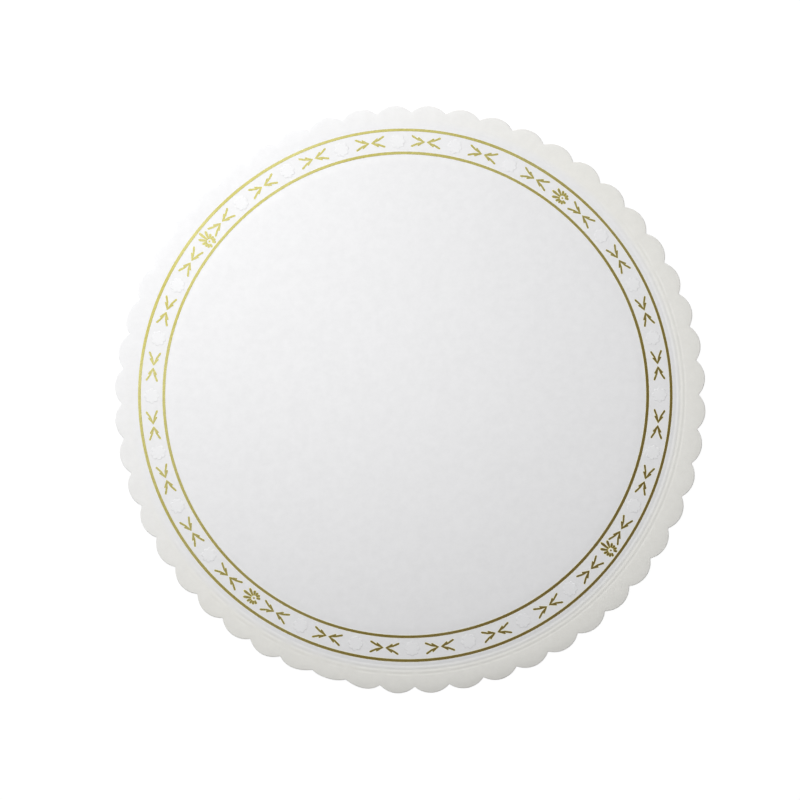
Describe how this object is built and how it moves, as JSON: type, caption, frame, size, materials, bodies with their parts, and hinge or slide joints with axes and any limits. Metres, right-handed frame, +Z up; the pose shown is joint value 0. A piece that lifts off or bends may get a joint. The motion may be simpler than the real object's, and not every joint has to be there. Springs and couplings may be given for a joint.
{
  "type": "cake board",
  "caption": "Round pressed card cake board with a scalloped edge and a gold foil band of lines, sprigs and daisies around a flat white ground.",
  "frame": {"origin": "on the underside, below the middle of the scalloped outline", "axes": "+Z up through the sheet, +X to the right and +Y to the top of the board as it is seen from above"},
  "size_m": [0.2538, 0.2538, 0.0015],
  "materials": {
    "white_card": "smooth coated card with a satin face",
    "gold_foil": "stamped gold foil, satin"
  },
  "bodies": {
    "root": {"board": "white_card", "gold_daisy_1": "gold_foil", "gold_daisy_2": "gold_foil", "gold_daisy_3": "gold_foil", "gold_daisy_4": "gold_foil", "gold_daisy_eye_1": "gold_foil", "gold_daisy_eye_2": "gold_foil", "gold_daisy_eye_3": "gold_foil", "gold_daisy_eye_4": "gold_foil", "gold_line_inner": "gold_foil", "gold_line_outer": "gold_foil", "gold_sprig_01": "gold_foil", "gold_sprig_02": "gold_foil", "gold_sprig_03": "gold_foil", "gold_sprig_04": "gold_foil", "gold_sprig_05": "gold_foil", "gold_sprig_06": "gold_foil", "gold_sprig_07": "gold_foil", "gold_sprig_08": "gold_foil", "gold_sprig_09": "gold_foil", "gold_sprig_10": "gold_foil", "gold_sprig_11": "gold_foil", "gold_sprig_12": "gold_foil", "gold_sprig_13": "gold_foil", "gold_sprig_14": "gold_foil", "gold_sprig_15": "gold_foil", "gold_sprig_16": "gold_foil", "gold_sprig_17": "gold_foil", "gold_sprig_18": "gold_foil", "gold_sprig_19": "gold_foil", "gold_sprig_20": "gold_foil", "gold_sprig_21": "gold_foil", "gold_sprig_22": "gold_foil", "gold_sprig_23": "gold_foil", "gold_sprig_24": "gold_foil", "gold_sprig_25": "gold_foil", "gold_sprig_26": "gold_foil", "gold_sprig_27": "gold_foil", "gold_sprig_28": "gold_foil"}
  },
  "joints": []
}
